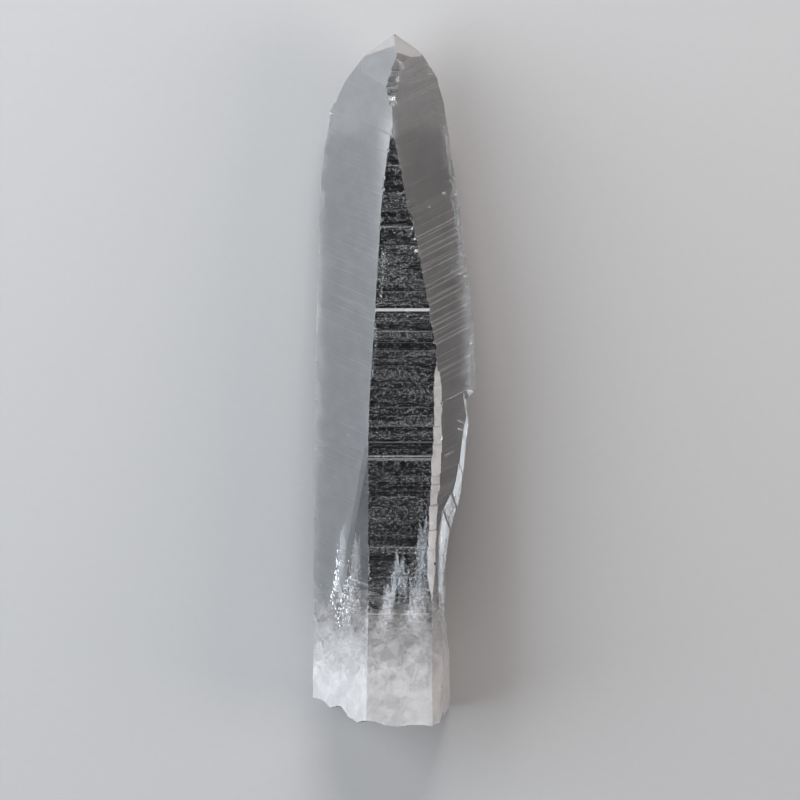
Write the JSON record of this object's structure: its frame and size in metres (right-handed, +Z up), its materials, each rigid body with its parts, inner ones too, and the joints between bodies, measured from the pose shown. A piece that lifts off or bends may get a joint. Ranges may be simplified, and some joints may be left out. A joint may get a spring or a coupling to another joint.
{
  "type": "quartz crystal",
  "caption": "Long clear quartz crystal with fine ladder-like ledges across its faces, a low faceted point and a frosted broken end, lying on one flat face.",
  "frame": {"origin": "bottom centre of the bounding box, on the plane that the crystal lies on", "axes": "+Y along the crystal's long axis, towards its point; +Z up, out of the clear front face; the broken end at -Y"},
  "size_m": [0.023, 0.0972, 0.018],
  "materials": {
    "quartz": "clear natural quartz, satin on its striated faces and frosted white at the broken end"
  },
  "bodies": {
    "root": {"quartz_crystal": "quartz"}
  },
  "joints": []
}
